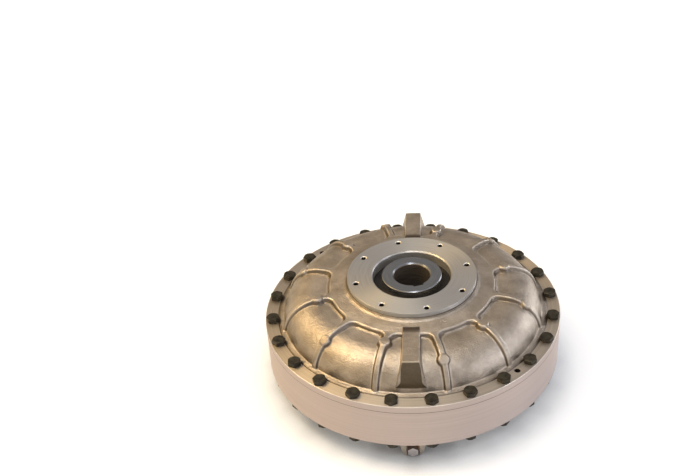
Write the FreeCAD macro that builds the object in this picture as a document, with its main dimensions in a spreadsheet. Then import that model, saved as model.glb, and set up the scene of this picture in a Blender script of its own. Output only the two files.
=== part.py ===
import FreeCAD, Part
import math
import os
import re
import Sketcher

# Fluid coupling, lying with its axis upright: a two-part aluminium casing that
# carries one bladed wheel, and a second bladed wheel on a hollow steel shaft
# that turns inside it on two roller bearings.
# Millimetres, +Z along the axis, origin at the centre of the rear hub face.

doc = FreeCAD.newDocument("FluidCoupling")
sheet = doc.addObject("Spreadsheet::Sheet", "Sizes")

SIZES = [
    ("rim_radius", 200, "outside radius of the machined rim"),
    ("rim_height", 65, "rim from its rear face to the front of the cover flange"),
    ("cover_flange", 10, "thickness of the cover flange above the joint"),
    ("front_rise", 56, "front hub face above the cover flange"),
    ("rear_drop", 35, "rear hub face below the rim"),
    ("bolt_edge", 10, "rim edge to the bolt circle"),
    ("bolt_count", 24, "rim bolts"),
    ("bolt_r", 5, "rim bolt shank radius, M10"),
    ("bolt_head_across", 16, "rim bolt and nut width across flats"),
    ("bolt_head_height", 6.4, "rim bolt head height"),
    ("nut_height", 8, "rim nut height"),
    ("bolt_end", 3, "rim bolt end past its nut"),
    ("bolt_play", 0.5, "radial play of a bolt in its hole"),
    ("thread_play", 0.05, "radial play left where a thread would be"),
    ("jack_r", 4.25, "jacking hole radius, M10 core"),
    ("jack_count", 2, "jacking holes"),
    ("jack_start", -45, "angle of the first jacking hole, degrees"),
    ("jack_edge", 11.2, "rim edge to the jacking hole circle"),
    ("dome_mid_r", 131, "radius of the circle that the dome section turns about"),
    ("dome_drop", 7, "front dome section centre below the cover flange face"),
    ("dome_radius", 44, "front dome section outside radius"),
    ("wall", 6.5, "casing wall"),
    ("hub_wall", 10.5, "wall of the bearing housings"),
    ("rear_dome_radius", 37, "rear dome section outside radius"),
    ("rear_dome_height", 62, "rear dome section centre above the rear hub face"),
    ("pocket_inner_r", 115, "inner end of the flat between the ribs"),
    ("plateau_r", 107, "outer edge of the raised ring round the hub"),
    ("plateau_rise", 43.5, "that ring's outer edge above the cover flange"),
    ("plateau_inner_r", 93, "foot of the hub flange"),
    ("plateau_cone", 2, "rise of the raised ring towards the hub"),
    ("hub_flange_r", 86.5, "hub flange outside radius"),
    ("hub_flange_edge", 7, "hub flange edge height"),
    ("mouth_r", 52.5, "seal seat radius"),
    ("mouth_chamfer", 1.5, "chamfer at the mouth of the seal seat"),
    ("tap_circle_r", 76.4, "hub tapped hole circle radius"),
    ("tap_count", 8, "hub tapped holes"),
    ("tap_r", 3.4, "hub tapped hole core radius, M8"),
    ("tap_depth", 17, "hub tapped hole depth"),
    ("tap_chamfer", 0.9, "countersink of the tapped holes"),
    ("tap_start", 15, "angle of the first tapped hole, degrees"),
    ("rib_count", 12, "ribs on each dome"),
    ("rib_mid_r", 128, "radius of the circle that the rib crest turns about"),
    ("rib_rise", 50, "rib crest section radius"),
    ("rib_foot_width", 10, "rib width at the dome"),
    ("rib_crest_width", 5.5, "rib width at the crest"),
    ("rib_depth", 9, "rib section height, most of it in the wall"),
    ("rib_start", 15, "angle of the first rib, degrees"),
    ("pip_r", 5.5, "radius of the round boss on each rib"),
    ("pip_proud", 0.9, "boss height above the rib crest"),
    ("pip_near_r", 126.5, "radius of the inner set of bosses"),
    ("pip_far_r", 154, "radius of the outer set of bosses"),
    ("lug_foot_width", 45, "front lug width at its foot"),
    ("lug_top_width", 21, "front lug width at its top"),
    ("lug_foot_r", 174.7, "front lug outer face at its foot"),
    ("lug_top_r", 167, "front lug outer face at its top"),
    ("lug_rise", 44.5, "front lug top above the cover flange"),
    ("lug_inner_r", 98, "inner end of the lugs"),
    ("rear_lug_height", 1, "rear lug tip above the rear hub face"),
    ("rear_lug_bend", 9, "height where the tip starts to narrow"),
    ("rear_lug_width", 29, "rear lug width at that height"),
    ("rear_lug_r", 183, "rear lug outer face"),
    ("rear_lug_tip_width", 19, "rear lug width at its tip"),
    ("rear_lug_root_width", 47, "rear lug width where it enters the rim"),
    ("slot_width", 16.5, "slot in the rear lug for the plug head"),
    ("slot_top", 27, "top of that slot above the rear hub face"),
    ("slot_floor_r", 175, "seat of the plug at the bottom of that slot"),
    ("plug_height", 8.5, "plug axis above the rear hub face"),
    ("plug_r", 5, "plug thread radius, M10"),
    ("plug_length", 14, "plug thread length"),
    ("plug_head_across", 13, "plug head width across flats"),
    ("plug_head_height", 9, "plug head height"),
    ("gasket_r", 7.5, "plug sealing washer radius"),
    ("gasket_height", 1.5, "plug sealing washer thickness"),
    ("passage_r", 3, "oil passage radius"),
    ("passage_at_r", 150, "radius of the cross passage into the chamber"),
    ("fuse_core_r", 2.2, "radius of the fusible metal core"),
    ("blade_count", 20, "blades in each wheel"),
    ("blade_width", 3.2, "blade thickness"),
    ("blade_root", 1, "blade edge set into the wheel wall"),
    ("chamber_radius", 30.5, "oil chamber section radius"),
    ("wheel_wall", 4, "inner wheel shell thickness"),
    ("wheel_gap", 3, "gap between the bladed faces"),
    ("split_height", 74, "casing blade edges above the rear hub face"),
    ("recess_play", 7.5, "gap between the inner wheel and the recess in the rim"),
    ("wheel_disc", 10, "inner wheel disc thickness"),
    ("shaft_r", 40, "shaft radius under bearings and seals"),
    ("shaft_bore_r", 24, "shaft bore radius"),
    ("shaft_bore_chamfer", 2, "bore chamfer"),
    ("key_width", 14, "keyway width"),
    ("key_depth", 3.8, "keyway depth past the bore"),
    ("key_angle", -70, "keyway angle, degrees"),
    ("shaft_collar_r", 44, "shaft radius between the bearings"),
    ("shaft_flange_r", 64, "shaft flange radius"),
    ("shaft_flange", 10, "shaft flange thickness"),
    ("shaft_end_gap", 2, "rear shaft end above the rear hub face"),
    ("screw_circle_r", 54, "wheel screw circle radius"),
    ("screw_count", 8, "wheel screws"),
    ("screw_r", 4, "wheel screw radius, M8"),
    ("screw_head_r", 6.5, "wheel screw head radius"),
    ("screw_head_height", 8, "wheel screw head height"),
    ("socket_across", 6, "hexagon socket across flats"),
    ("socket_depth", 4, "hexagon socket depth"),
    ("fit", 0.02, "radial clearance of a turning or pressed fit"),
    ("bearing_r", 62.5, "bearing outside radius"),
    ("bearing_width", 22, "bearing width"),
    ("bearing_in", 30, "bearing outer side below the hub face"),
    ("race_inner_r", 46, "inner race outside radius"),
    ("race_outer_r", 57, "outer race inside radius"),
    ("race_rib", 2.2, "height of the race ribs beside the rollers"),
    ("roller_length", 12, "roller length"),
    ("roller_count", 16, "rollers in each bearing"),
    ("roller_play", 0.05, "radial play of the rollers"),
    ("cage_width", 16, "roller cage width"),
    ("cage_wall", 2.6, "roller cage wall"),
    ("seal_in", 14, "seal face below the hub face"),
    ("seal_width", 12, "seal width"),
    ("seal_ledge", 1.5, "ledge under the seal"),
    ("ring_width", 2.5, "shaft retaining ring thickness"),
    ("ring_depth", 1.75, "shaft retaining ring groove depth"),
    ("ring_out", 4.3, "shaft retaining ring height above the shaft"),
    ("cord_height", 2.4, "squeezed height of the joint sealing cord"),
    ("cord_flat", 1.8, "width of its flats"),
    ("cord_play", 0.6, "side play of the cord in its groove"),
    ("cord_land", 5, "recess wall to the middle of the sealing cord"),
    ("core_inner_r", 168, "inside of the coring pockets in the rear face"),
    ("core_outer_r", 180, "outside of the coring pockets"),
    ("core_depth", 23, "depth of the coring pockets"),
    ("core_angle", 22, "angle of each coring pocket, degrees"),
    ("hub_clear", 2, "gap between the cover hub and the wheel screws"),
    ("shroud_r", 94, "bore of the casing wheel's inner shroud"),
    ("seal_shell", 2.2, "seal case wall"),
    ("seal_spring_r", 0.9, "seal garter spring wire coil radius"),
    ("end_chamfer", 1, "shaft end chamfer"),
    ("ring_slot", 9, "opening of the retaining rings"),
]

for row, (alias, value, note) in enumerate(SIZES, start=1):
    sheet.set(f"A{row}", note)
    sheet.set(f"B{row}", str(value))
    sheet.setAlias(f"B{row}", alias)
doc.recompute()

ALIASES = {alias for alias, value, note in SIZES}

# Levels along the axis, each written in terms of the sheet.
RIM_FRONT = "(rear_drop + rim_height)"
JOINT = "(rear_drop + rim_height - cover_flange)"
FRONT_FACE = "(rear_drop + rim_height + front_rise)"
DOME_CENTRE = "(rear_drop + rim_height - dome_drop)"
DOME_INSIDE = "(dome_radius - wall)"
WHEEL_SPLIT = "(split_height + wheel_gap)"
WHEEL_OUTSIDE = "(chamber_radius + wheel_wall)"
DISC_TOP = "(split_height + wheel_gap + wheel_disc)"
FLANGE_BOTTOM = "(split_height + wheel_gap - shaft_flange)"
FRONT_BEARING = f"({FRONT_FACE} - bearing_in - bearing_width)"
HUB_WALL_R = "(bearing_r + hub_wall)"
BOLT_CIRCLE = "(rim_radius - bolt_edge)"
JACK_CIRCLE = "(rim_radius - jack_edge)"
RECESS_R = "(dome_mid_r + chamber_radius + wheel_wall + recess_play)"
CORD_CIRCLE = "(dome_mid_r + chamber_radius + wheel_wall + recess_play + cord_land)"


def value_of(expression):
    """The number that an expression over the sheet gives."""
    return float(sheet.evalExpression(str(expression)))


def bound(expression):
    """The same expression as other objects write it, with the sheet's name."""
    return re.sub(r"[a-z_]+", lambda word: "Sizes." + word[0] if word[0] in ALIASES else word[0],
                  str(expression))


def new_body(name):
    body = doc.addObject("PartDesign::Body", name)
    body.AllowCompound = True
    return body


def origin_item(body, role):
    return next(item for item in body.Origin.OriginFeatures if item.Role == role)


def new_sketch(body, name, plane, height=None):
    sketch = body.newObject("Sketcher::SketchObject", name)
    sketch.AttachmentSupport = (origin_item(body, plane), [""])
    sketch.MapMode = "FlatFace"
    if height is not None:
        sketch.setExpression("AttachmentOffset.Base.z", bound(height))
    return sketch


def hold(sketch, kind, *refs, expression):
    """A dimension on the sketch that follows an expression."""
    index = sketch.addConstraint(Sketcher.Constraint(kind, *refs, value_of(expression)))
    sketch.setExpression(f"Constraints[{index}]", bound(expression))


def arc_between(start, end, radius, turn):
    """The shorter arc from start to end; turn is 1 to the left, -1 to the right."""
    chord = end - start
    middle = (start + end) * 0.5
    side = FreeCAD.Vector(-chord.y, chord.x, 0).normalize() * turn
    reach = math.sqrt(max(radius**2 - (chord.Length / 2) ** 2, 0))
    bulge = middle - side * (radius - reach)
    return Part.Arc(start, bulge, end)


def add_outline(sketch, points, closed=True):
    """Lines and arcs through points (x, y) or, to end an arc there, (x, y, radius, turn)."""
    ends = [FreeCAD.Vector(value_of(point[0]), value_of(point[1]), 0) for point in points]
    first = sketch.GeometryCount
    steps = len(points) if closed else len(points) - 1
    for step in range(steps):
        target = points[(step + 1) % len(points)]
        start, end = ends[step], ends[(step + 1) % len(points)]
        if len(target) == 4:
            sketch.addGeometry(arc_between(start, end, value_of(target[2]), target[3]))
        else:
            sketch.addGeometry(Part.LineSegment(start, end))
    for step in range(steps):
        geometry = first + step
        target = points[(step + 1) % len(points)]
        start_end = 1
        finish_end = 2
        if len(target) == 4 and target[3] < 0:
            start_end, finish_end = 2, 1
        hold(sketch, "DistanceX", -1, 1, geometry, start_end, expression=points[step][0])
        hold(sketch, "DistanceY", -1, 1, geometry, start_end, expression=points[step][1])
        if closed or step < steps - 1:
            following = first + (step + 1) % steps
            beyond = points[(step + 2) % len(points)]
            next_start = 2 if len(beyond) == 4 and beyond[3] < 0 else 1
            sketch.addConstraint(
                Sketcher.Constraint("Coincident", geometry, finish_end, following, next_start))
        else:
            hold(sketch, "DistanceX", -1, 1, geometry, finish_end, expression=target[0])
            hold(sketch, "DistanceY", -1, 1, geometry, finish_end, expression=target[1])
        if len(target) == 4:
            hold(sketch, "Radius", geometry, expression=target[2])
    return sketch


def add_circle(sketch, x, y, radius):
    centre = FreeCAD.Vector(value_of(x), value_of(y), 0)
    index = sketch.addGeometry(
        Part.Circle(centre, FreeCAD.Vector(0, 0, 1), value_of(radius)))
    hold(sketch, "DistanceX", -1, 1, index, 3, expression=x)
    hold(sketch, "DistanceY", -1, 1, index, 3, expression=y)
    hold(sketch, "Radius", index, expression=radius)
    return sketch


def hexagon(x, y, across, start=0):
    """Six corners about (x, y), the first at a start angle in degrees."""
    corners = []
    for k in range(6):
        angle = start + 60 * k
        corners.append((f"{x} + ({across}) / sqrt(3) * cos({angle} deg)",
                        f"{y} + ({across}) / sqrt(3) * sin({angle} deg)"))
    return corners


def box_outline(x0, y0, x1, y1):
    return [(x0, y0), (x1, y0), (x1, y1), (x0, y1)]


def turned(body, name, points, cut=False):
    """A ring or its removal, from a section in the XZ plane turned about Z."""
    sketch = add_outline(new_sketch(body, name + "_section", "XZ_Plane"), points)
    kind = "PartDesign::Groove" if cut else "PartDesign::Revolution"
    feature = body.newObject(kind, name)
    feature.Profile = sketch
    feature.ReferenceAxis = (origin_item(body, "Z_Axis"), [""])
    feature.Angle = 360
    body.Tip = feature
    return feature


def raised(body, name, sketch, length, both_ways=False):
    feature = body.newObject("PartDesign::Pad", name)
    feature.Profile = sketch
    feature.setExpression("Length", bound(length))
    if both_ways:
        feature.SideType = "Symmetric"
    body.Tip = feature
    return feature


def sunk(body, name, sketch, length, along=False, both_ways=False):
    """A pocket; along cuts towards the sketch plane's own normal."""
    feature = body.newObject("PartDesign::Pocket", name)
    feature.Profile = sketch
    feature.setExpression("Length", bound(length))
    feature.Reversed = along
    if both_ways:
        feature.SideType = "Symmetric"
    body.Tip = feature
    return feature


def repeated(body, name, features, count):
    feature = body.newObject("PartDesign::PolarPattern", name)
    feature.Originals = features
    feature.Axis = (origin_item(body, "Z_Axis"), [""])
    feature.Angle = 360
    feature.setExpression("Occurrences", bound(count))
    body.Tip = feature
    return feature


def turn_sketch(sketch, axis, angle):
    """Turn a sketch about its own y or z axis by an angle in degrees."""
    for letter in "xyz":
        share = "1" if letter == axis else "0"
        sketch.setExpression(f"AttachmentOffset.Rotation.Axis.{letter}", share)
    sketch.setExpression("AttachmentOffset.Rotation.Angle", bound(f"({angle}) * 1 deg"))


def cross_sketch(body, name, angle, height):
    """A sketch square to the axis whose x points outwards at an angle."""
    sketch = new_sketch(body, name, "XY_Plane", height)
    turn_sketch(sketch, "z", angle)
    return sketch


def radial_sketch(body, name, angle, lift="0", reach="0"):
    """A sketch that holds the axis: x outwards at an angle, y up, from (reach, lift)."""
    sketch = new_sketch(body, name, "XZ_Plane")
    turn_sketch(sketch, "y", angle)
    sketch.setExpression("AttachmentOffset.Base.x", bound(f"({reach}) * cos(({angle}) * 1 deg)"))
    sketch.setExpression("AttachmentOffset.Base.y", bound(lift))
    sketch.setExpression("AttachmentOffset.Base.z", bound(f"-({reach}) * sin(({angle}) * 1 deg)"))
    return sketch


def turned_on(body, name, sketch, axis, cut=False):
    """Turn a sketch about its own H_Axis or V_Axis, as metal or as a hole."""
    kind = "PartDesign::Groove" if cut else "PartDesign::Revolution"
    feature = body.newObject(kind, name)
    feature.Profile = sketch
    feature.ReferenceAxis = (sketch, [axis])
    feature.Angle = 360
    body.Tip = feature
    return feature


def lofted(body, name, lower, upper):
    feature = body.newObject("PartDesign::AdditiveLoft", name)
    feature.Profile = lower
    feature.Sections = [upper]
    body.Tip = feature
    return feature


def depth_of(front):
    """Depths below a hub face, as heights: the front face looks up, the rear one down."""
    if front:
        return lambda depth: f"({FRONT_FACE} - ({depth}))"
    return lambda depth: f"({depth})"


def end_name(front):
    return "front" if front else "rear"


def hub_taps(body, front):
    """The ring of countersunk tapped holes in a hub face."""
    direction = -1 if front else 1
    face = FRONT_FACE if front else "0"
    sketch = radial_sketch(body, "tap_section", "tap_start", lift=face, reach="tap_circle_r")
    add_outline(sketch, [
        ("0", f"{-direction}"),
        ("tap_r + tap_chamfer", f"{-direction}"),
        ("tap_r + tap_chamfer", "0"),
        ("tap_r", f"{direction} * tap_chamfer"),
        ("tap_r", f"{direction} * tap_depth"),
        ("0", f"{direction} * tap_depth"),
    ])
    repeated(body, "taps", [turned_on(body, "tap", sketch, "V_Axis", cut=True)], "tap_count")


def ribs(body, centre, rise, front):
    """Drafted ribs that run down the dome from the raised ring to the rim."""
    way = 1 if front else -1
    path = radial_sketch(body, "rib_path", "rib_start")
    add_outline(path, [
        (f"rib_mid_r + {rise}", centre),
        ("rib_mid_r", f"{centre} + {way} * ({rise})", rise, way),
        ("plateau_r - wall / 2", f"{centre} + {way} * ({rise})"),
    ], closed=False)
    section = cross_sketch(body, "rib_section", "rib_start", centre)
    add_outline(section, [
        (f"rib_mid_r + {rise} - rib_depth", "-rib_foot_width / 2"),
        (f"rib_mid_r + {rise}", "-rib_crest_width / 2"),
        (f"rib_mid_r + {rise}", "rib_crest_width / 2"),
        (f"rib_mid_r + {rise} - rib_depth", "rib_foot_width / 2"),
    ])
    rib = body.newObject("PartDesign::AdditivePipe", "rib")
    rib.Profile = section
    rib.Spine = (path, ["Edge1", "Edge2"])
    body.Tip = rib
    repeated(body, "ribs", [rib], "rib_count")


def rib_bosses(body, name, angle, reach, centre, rise):
    """Round bosses on every second rib, square to its crest at a radius."""
    out = f"(({reach}) - rib_mid_r) / ({rise})"
    up = f"sqrt(1 - (({reach}) - rib_mid_r)^2 / ({rise})^2)"
    sketch = radial_sketch(body, name + "_section", angle)

    def point(along, outwards):
        return (f"rib_mid_r + ({rise} + {along}) * {out} + {outwards} * {up}",
                f"{centre} + ({rise} + {along}) * {up} - {outwards} * {out}")

    add_outline(sketch, [
        point("-rib_depth / 2", "0"),
        point("-rib_depth / 2", "pip_r"),
        point("pip_proud / 2", "pip_r"),
        point("pip_proud", "(pip_r - pip_proud)"),
        point("pip_proud", "0"),
    ])
    boss = body.newObject("PartDesign::Revolution", name)
    boss.Profile = sketch
    boss.ReferenceAxis = (sketch, ["Edge5"])
    boss.Angle = 360
    body.Tip = boss
    repeated(body, name + "es", [boss], "rib_count / 2")


def lugs(body, *levels):
    """Two drafted blocks across the dome, through levels of (height, width, outer r)."""
    sketches = []
    for number, (height, width, outer) in enumerate(levels):
        sketch = cross_sketch(body, f"lug_level_{number}", "-90", height)
        add_outline(sketch, box_outline("lug_inner_r", f"-({width}) / 2", outer, f"({width}) / 2"))
        sketches.append(sketch)
    repeated(body, "lugs", [lofted(body, f"lug_{number}", *pair)
                            for number, pair in enumerate(zip(sketches, sketches[1:]))], "2")


def bolt_holes(body, height, length):
    sketch = cross_sketch(body, "bolt_hole_section", "180 / bolt_count", height)
    add_circle(sketch, BOLT_CIRCLE, "0", "bolt_r + bolt_play")
    repeated(body, "bolt_holes", [sunk(body, "bolt_hole", sketch, length)], "bolt_count")


def blades(body, ends):
    """Straight radial blades with their edges set into the shell."""
    sketch = radial_sketch(body, "blade_outline", "180 / blade_count")
    add_outline(sketch, ends)
    blade = raised(body, "blade", sketch, "blade_width", both_ways=True)
    repeated(body, "blades", [blade], "blade_count")


def make_front_cover():
    """Cast cover: flange, ribbed dome, two lugs and the machined hub face."""
    body = new_body("front_cover")
    crown = f"({DOME_CENTRE} + dome_radius)"
    turned(body, "outside", [
        ("0", JOINT),
        ("rim_radius", JOINT),
        ("rim_radius", RIM_FRONT),
        ("dome_mid_r + sqrt(dome_radius^2 - dome_drop^2)", RIM_FRONT),
        ("dome_mid_r", crown, "dome_radius", 1),
        ("pocket_inner_r", crown),
        ("plateau_r", f"{RIM_FRONT} + plateau_rise"),
        ("plateau_inner_r", f"{RIM_FRONT} + plateau_rise + plateau_cone"),
        ("hub_flange_r", f"{FRONT_FACE} - hub_flange_edge"),
        ("hub_flange_r", FRONT_FACE),
        ("0", FRONT_FACE),
    ])
    ribs(body, DOME_CENTRE, "rib_rise", True)
    rib_bosses(body, "near_boss", "rib_start", "pip_near_r", DOME_CENTRE, "rib_rise")
    rib_bosses(body, "far_boss", "rib_start + 360 / rib_count", "pip_far_r", DOME_CENTRE,
               "rib_rise")
    lugs(body, (DOME_CENTRE, "lug_foot_width", "lug_foot_r"),
         (f"{RIM_FRONT} + lug_rise", "lug_top_width", "lug_top_r"))
    at = depth_of(True)
    turned(body, "inside", [
        ("0", f"{JOINT} - 1"),
        (f"dome_mid_r + {DOME_INSIDE}", f"{JOINT} - 1"),
        (f"dome_mid_r + {DOME_INSIDE}", DOME_CENTRE),
        ("dome_mid_r", f"{crown} - wall", DOME_INSIDE, 1),
        ("pocket_inner_r", f"{crown} - wall"),
        ("plateau_r", f"{RIM_FRONT} + plateau_rise - wall"),
        (HUB_WALL_R, f"{RIM_FRONT} + plateau_rise - wall"),
        (HUB_WALL_R, f"{DISC_TOP} + screw_head_height + hub_clear"),
        ("bearing_r", f"{DISC_TOP} + screw_head_height + hub_clear"),
        ("bearing_r", at("bearing_in")),
        ("mouth_r - seal_ledge", at("bearing_in")),
        ("mouth_r - seal_ledge", at("seal_in + seal_width")),
        ("mouth_r", at("seal_in + seal_width")),
        ("mouth_r", at("mouth_chamfer")),
        ("mouth_r + mouth_chamfer", at("0")),
        ("mouth_r + mouth_chamfer", at("-1")),
        ("0", at("-1")),
    ], cut=True)
    hub_taps(body, True)
    bolt_holes(body, RIM_FRONT, "cover_flange + 1")
    jack = cross_sketch(body, "jack_section", "jack_start", RIM_FRONT)
    add_circle(jack, JACK_CIRCLE, "0", "jack_r")
    repeated(body, "jack_holes", [sunk(body, "jack_hole", jack, "cover_flange + 1")], "jack_count")
    return body


def make_rear_casing():
    """Cast casing wheel: thick rim, bladed chamber, rear dome, hub and plug lugs."""
    body = new_body("rear_casing")
    crown = "(rear_dome_height - rear_dome_radius)"
    ring = f"({crown} - plateau_rise + dome_radius - dome_drop)"
    turned(body, "outside", [
        ("0", "0"),
        ("hub_flange_r", "0"),
        ("hub_flange_r", f"{ring} - plateau_cone - hub_flange_edge / 2"),
        ("plateau_inner_r", f"{ring} - plateau_cone"),
        ("plateau_r", ring),
        ("pocket_inner_r", crown),
        ("dome_mid_r", crown),
        ("dome_mid_r + sqrt(rear_dome_radius^2 - (rear_dome_height - rear_drop)^2)", "rear_drop",
         "rear_dome_radius", 1),
        ("rim_radius", "rear_drop"),
        ("rim_radius", JOINT),
        ("0", JOINT),
    ])
    core = radial_sketch(body, "core_section", "-core_angle / 2")
    add_outline(core, box_outline("core_inner_r", "rear_drop - 1", "core_outer_r",
                                  "rear_drop + core_depth"))
    pocket = body.newObject("PartDesign::Groove", "core")
    pocket.Profile = core
    pocket.ReferenceAxis = (core, ["V_Axis"])
    pocket.setExpression("Angle", bound("core_angle"))
    body.Tip = pocket
    repeated(body, "cores", [pocket], "rib_count")
    ribs(body, "rear_dome_height", "(rear_dome_radius + rib_rise - dome_radius)", False)
    lugs(body, ("rear_lug_height", "rear_lug_tip_width", "rear_lug_r"),
         ("rear_lug_bend", "rear_lug_width", "rear_lug_r"),
         ("rear_drop + core_depth", "rear_lug_root_width", "rear_lug_r"))
    at = depth_of(False)
    turned(body, "inside", [
        ("0", f"{JOINT} + 1"),
        (RECESS_R, f"{JOINT} + 1"),
        (RECESS_R, "split_height"),
        ("dome_mid_r + chamber_radius", "split_height"),
        ("dome_mid_r + chamber_radius", "rear_dome_height"),
        ("dome_mid_r", "rear_dome_height - chamber_radius", "chamber_radius", -1),
        ("dome_mid_r - chamber_radius", "rear_dome_height", "chamber_radius", -1),
        ("dome_mid_r - chamber_radius", "split_height"),
        ("shroud_r", "split_height"),
        ("shroud_r", f"{ring} + wall"),
        (HUB_WALL_R, f"{ring} + wall"),
        (HUB_WALL_R, at("bearing_in + bearing_width + race_rib")),
        ("bearing_r", at("bearing_in + bearing_width + race_rib")),
        ("bearing_r", at("bearing_in")),
        ("mouth_r - seal_ledge", at("bearing_in")),
        ("mouth_r - seal_ledge", at("seal_in + seal_width")),
        ("mouth_r", at("seal_in + seal_width")),
        ("mouth_r", at("mouth_chamfer")),
        ("mouth_r + mouth_chamfer", at("0")),
        ("mouth_r + mouth_chamfer", at("-1")),
        ("0", at("-1")),
    ], cut=True)
    cord_half = "(cord_flat / 2 + cord_height / 2 + cord_play / 2)"
    turned(body, "cord_groove", box_outline(
        f"{CORD_CIRCLE} - {cord_half}", f"{JOINT} - cord_height",
        f"{CORD_CIRCLE} + {cord_half}", f"{JOINT} + 1"), cut=True)
    blades(body, [
        ("dome_mid_r - chamber_radius - blade_root", "split_height"),
        ("dome_mid_r - chamber_radius - blade_root", "rear_dome_height"),
        ("dome_mid_r", "rear_dome_height - chamber_radius - blade_root",
         "chamber_radius + blade_root", 1),
        ("dome_mid_r + chamber_radius + blade_root", "rear_dome_height",
         "chamber_radius + blade_root", 1),
        ("dome_mid_r + chamber_radius + blade_root", "split_height"),
    ])
    hub_taps(body, False)
    bolt_holes(body, JOINT, f"{JOINT} - rear_drop + 1")
    slot = cross_sketch(body, "slot_section", "-90", "slot_top")
    add_outline(slot, box_outline("slot_floor_r", "-slot_width / 2", "rim_radius",
                                  "slot_width / 2"))
    cross = cross_sketch(body, "cross_passage_section", "-90", "rear_dome_height - passage_r")
    add_circle(cross, "passage_at_r", "0", "passage_r")
    inlet = radial_sketch(body, "plug_hole_section", "-90", lift="plug_height")
    add_outline(inlet, [
        ("passage_at_r - passage_r", "0"),
        ("slot_floor_r + 1", "0"),
        ("slot_floor_r + 1", "plug_r + thread_play"),
        ("slot_floor_r - plug_length - 1", "plug_r + thread_play"),
        ("slot_floor_r - plug_length - 1", "passage_r"),
        ("passage_at_r - passage_r", "passage_r"),
    ])
    repeated(body, "plug_ways", [
        sunk(body, "slot", slot, "slot_top + 1"),
        sunk(body, "cross_passage", cross, "rear_dome_height - passage_r - plug_height"),
        turned_on(body, "plug_hole", inlet, "H_Axis", cut=True),
    ], "2")
    return body


def make_inner_wheel():
    """Cast wheel: disc, half-round shell and straight blades."""
    body = new_body("inner_wheel")
    turned(body, "shell", [
        ("shaft_collar_r + fit", WHEEL_SPLIT),
        ("dome_mid_r - chamber_radius", WHEEL_SPLIT),
        ("dome_mid_r - chamber_radius", DOME_CENTRE),
        ("dome_mid_r", f"{DOME_CENTRE} + chamber_radius", "chamber_radius", -1),
        ("dome_mid_r + chamber_radius", DOME_CENTRE, "chamber_radius", -1),
        ("dome_mid_r + chamber_radius", WHEEL_SPLIT),
        (f"dome_mid_r + {WHEEL_OUTSIDE}", WHEEL_SPLIT),
        (f"dome_mid_r + {WHEEL_OUTSIDE}", DOME_CENTRE),
        ("dome_mid_r", f"{DOME_CENTRE} + {WHEEL_OUTSIDE}", WHEEL_OUTSIDE, 1),
        (f"dome_mid_r - {WHEEL_OUTSIDE}", DOME_CENTRE, WHEEL_OUTSIDE, 1),
        (f"dome_mid_r - {WHEEL_OUTSIDE}", DISC_TOP),
        ("shaft_collar_r + fit", DISC_TOP),
    ])
    blades(body, [
        ("dome_mid_r - chamber_radius - blade_root", WHEEL_SPLIT),
        ("dome_mid_r + chamber_radius + blade_root", WHEEL_SPLIT),
        ("dome_mid_r + chamber_radius + blade_root", DOME_CENTRE),
        ("dome_mid_r", f"{DOME_CENTRE} + chamber_radius + blade_root",
         "chamber_radius + blade_root", 1),
        ("dome_mid_r - chamber_radius - blade_root", DOME_CENTRE,
         "chamber_radius + blade_root", 1),
    ])
    holes = cross_sketch(body, "screw_hole_section", "0", DISC_TOP)
    add_circle(holes, "screw_circle_r", "0", "screw_r + bolt_play")
    repeated(body, "screw_holes", [sunk(body, "screw_hole", holes, "wheel_disc + 1")],
             "screw_count")
    return body


def make_hollow_shaft():
    """Steel shaft: keyed bore, ring grooves, bearing shoulders and the wheel flange."""
    body = new_body("hollow_shaft")
    front, rear = depth_of(True), depth_of(False)
    turned(body, "turning", [
        ("shaft_bore_r", "shaft_end_gap + shaft_bore_chamfer"),
        ("shaft_bore_r + shaft_bore_chamfer", "shaft_end_gap"),
        ("shaft_r - end_chamfer", "shaft_end_gap"),
        ("shaft_r", "shaft_end_gap + end_chamfer"),
        ("shaft_r", rear("bearing_in - ring_width")),
        ("shaft_r - ring_depth", rear("bearing_in - ring_width")),
        ("shaft_r - ring_depth", rear("bearing_in")),
        ("shaft_r", rear("bearing_in")),
        ("shaft_r", rear("bearing_in + bearing_width")),
        ("shaft_collar_r", rear("bearing_in + bearing_width")),
        ("shaft_collar_r", FLANGE_BOTTOM),
        ("shaft_flange_r", FLANGE_BOTTOM),
        ("shaft_flange_r", WHEEL_SPLIT),
        ("shaft_collar_r", WHEEL_SPLIT),
        ("shaft_collar_r", front("bearing_in + bearing_width")),
        ("shaft_r", front("bearing_in + bearing_width")),
        ("shaft_r", front("bearing_in")),
        ("shaft_r - ring_depth", front("bearing_in")),
        ("shaft_r - ring_depth", front("bearing_in - ring_width")),
        ("shaft_r", front("bearing_in - ring_width")),
        ("shaft_r", front("end_chamfer")),
        ("shaft_r - end_chamfer", front("0")),
        ("shaft_bore_r + shaft_bore_chamfer", front("0")),
        ("shaft_bore_r", front("shaft_bore_chamfer")),
    ])
    key = cross_sketch(body, "keyway_section", "key_angle", FRONT_FACE)
    add_outline(key, box_outline("0", "-key_width / 2", "shaft_bore_r + key_depth",
                                 "key_width / 2"))
    sunk(body, "keyway", key, FRONT_FACE)
    holes = cross_sketch(body, "screw_tap_section", "0", WHEEL_SPLIT)
    add_circle(holes, "screw_circle_r", "0", "screw_r + thread_play")
    repeated(body, "screw_taps", [sunk(body, "screw_tap", holes, "shaft_flange + 1")],
             "screw_count")
    return body


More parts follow.
